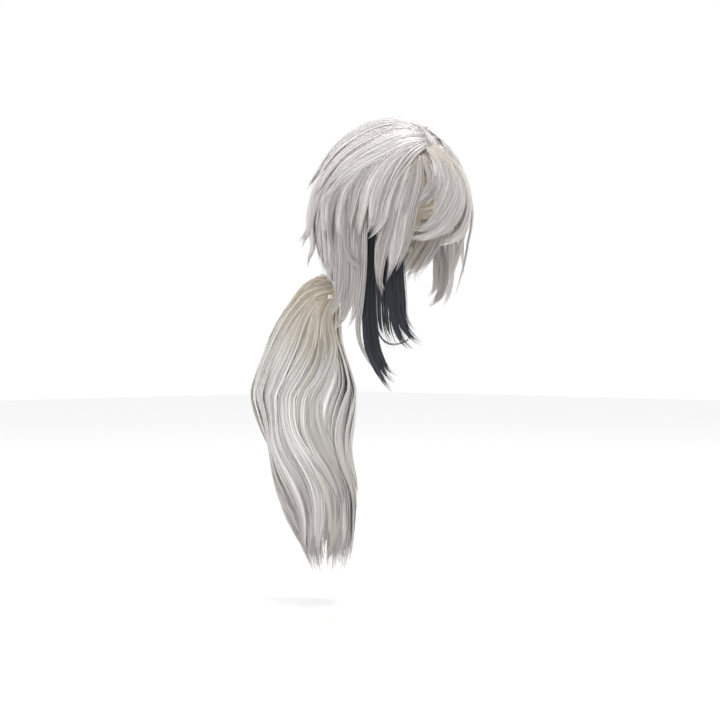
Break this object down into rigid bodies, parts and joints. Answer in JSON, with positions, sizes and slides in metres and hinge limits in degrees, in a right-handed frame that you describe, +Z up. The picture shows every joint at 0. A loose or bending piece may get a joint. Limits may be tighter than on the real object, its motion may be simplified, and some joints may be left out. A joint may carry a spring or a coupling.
{
  "type": "costume wig",
  "caption": "Silver-white costume wig on a sewn cap, with a swept fringe, long side locks, black under-locks on one side and a long clip-on ponytail.",
  "frame": {"origin": "centre of the head cavity, level with the widest circumference of the head", "axes": "+Z up, the wearer faces -Y, the wearer's left is +X"},
  "size_m": [0.1858, 0.3345, 0.605],
  "materials": {
    "cap_net": "open stretch lace",
    "cap_band": "folded elastic binding, stitched",
    "stay_steel": "satin",
    "elastic": "ribbed elastic",
    "weft_track": "stitched weft",
    "parting_patch": "fine skin-tone mesh",
    "slider_plastic": "moulded, slightly glossy",
    "hair_white": "silver-white heat fibre, silky",
    "hair_black": "blue-black heat fibre, silky",
    "hair_tail": "cream to cool white heat fibre, silky",
    "tie_rubber": "matt elastic",
    "claw_plastic": "moulded, glossy",
    "claw_steel": "bright",
    "thread": "wound thread"
  },
  "bodies": {
    "root": {"cap_net": "cap_net", "front_band": "cap_band", "nape_band": "cap_band", "ear_tab_left": "cap_band", "ear_tab_right": "cap_band", "ear_stay_left": "stay_steel", "ear_stay_right": "stay_steel", "crown_strap_centre": "elastic", "crown_strap_left": "elastic", "crown_strap_right": "elastic", "weft_track_1": "weft_track", "weft_track_2": "weft_track", "weft_track_3": "weft_track", "weft_track_4": "weft_track", "weft_track_5": "weft_track", "weft_track_6": "weft_track", "weft_track_7": "weft_track", "weft_track_8": "weft_track", "parting_patch": "parting_patch", "adjuster_strap_left": "elastic", "adjuster_strap_right": "elastic", "crown_hair": "hair_white", "back_hair_upper": "hair_white", "back_hair_lower": "hair_white", "nape_hair": "hair_white", "temple_hair_left": "hair_white", "temple_hair_right": "hair_white", "hair_bun": "hair_white", "hair_tie": "tie_rubber"},
    "clip": {"claw_pin": "claw_steel", "claw_spring": "claw_steel", "tail_crest": "hair_tail", "tail_tab": "thread"},
    "fringe": {"fringe_centre": "hair_white", "fringe_left": "hair_white", "fringe_wisp": "hair_white"},
    "right_locks": {"front_lock_right": "hair_white", "side_lock_right": "hair_white", "black_lock_front": "hair_black", "black_lock_back": "hair_black"},
    "left_locks": {"front_lock_left": "hair_white", "side_lock_left": "hair_white"},
    "slider_left": {"adjuster_slider_left": "slider_plastic"},
    "slider_right": {"adjuster_slider_right": "slider_plastic"},
    "jaw_left": {"claw_jaw_left": "claw_plastic", "root_hair_left": "hair_tail"},
    "jaw_right": {"claw_jaw_right": "claw_plastic", "root_hair_right": "hair_tail"},
    "tail": {"tail_knot": "thread", "tail_binding": "thread", "ponytail": "hair_tail"}
  },
  "joints": [
    {"name": "fringe_lift", "type": "hinge", "parent": "root", "child": "fringe", "pos_m": [0, -0.1, 0.0614], "axis": [-1, 0, 0], "range_deg": [0, 35], "stiffness_Nm_per_rad": 0.01, "springref_deg": -17.19},
    {"name": "right_hair_swing", "type": "hinge", "parent": "root", "child": "right_locks", "pos_m": [-0.0925, 0, 0.0134], "axis": [0, 1, 0], "range_deg": [0, 25], "stiffness_Nm_per_rad": 0.02, "springref_deg": -17.19},
    {"name": "left_hair_swing", "type": "hinge", "parent": "root", "child": "left_locks", "pos_m": [0.0925, 0, 0.0134], "axis": [0, -1, 0], "range_deg": [0, 25], "stiffness_Nm_per_rad": 0.02, "springref_deg": -17.19},
    {"name": "adjuster_left_slide", "type": "slide", "parent": "root", "child": "slider_left", "axis": [-0.7841, 0.6052, -0.1376], "range_m": [-0.012, 0.02]},
    {"name": "adjuster_right_slide", "type": "slide", "parent": "root", "child": "slider_right", "axis": [0.7841, 0.6052, -0.1376], "range_m": [-0.012, 0.02]},
    {"name": "clip_turn", "type": "hinge", "parent": "root", "child": "clip", "pos_m": [0, 0.11, -0.08], "axis": [0, 1, 0], "range_deg": [-20, 20]},
    {"name": "jaw_left_open", "type": "hinge", "parent": "clip", "child": "jaw_left", "pos_m": [0, 0.1265, -0.08], "axis": [0, 0, 1], "range_deg": [0, 20], "stiffness_Nm_per_rad": 0.05, "springref_deg": -17.19},
    {"name": "jaw_right_open", "type": "hinge", "parent": "clip", "child": "jaw_right", "pos_m": [0, 0.1265, -0.08], "axis": [0, 0, 1], "range_deg": [-20, 0], "stiffness_Nm_per_rad": 0.05, "springref_deg": 17.19},
    {"name": "tail_swing", "type": "hinge", "parent": "clip", "child": "tail", "pos_m": [0, 0.133, -0.107], "axis": [1, 0, 0], "range_deg": [-10, 40], "stiffness_Nm_per_rad": 0.2, "springref_deg": 13.75}
  ],
  "couplings": [
    {"joint": "jaw_right_open", "follows": "jaw_left_open", "ratio": -1}
  ]
}
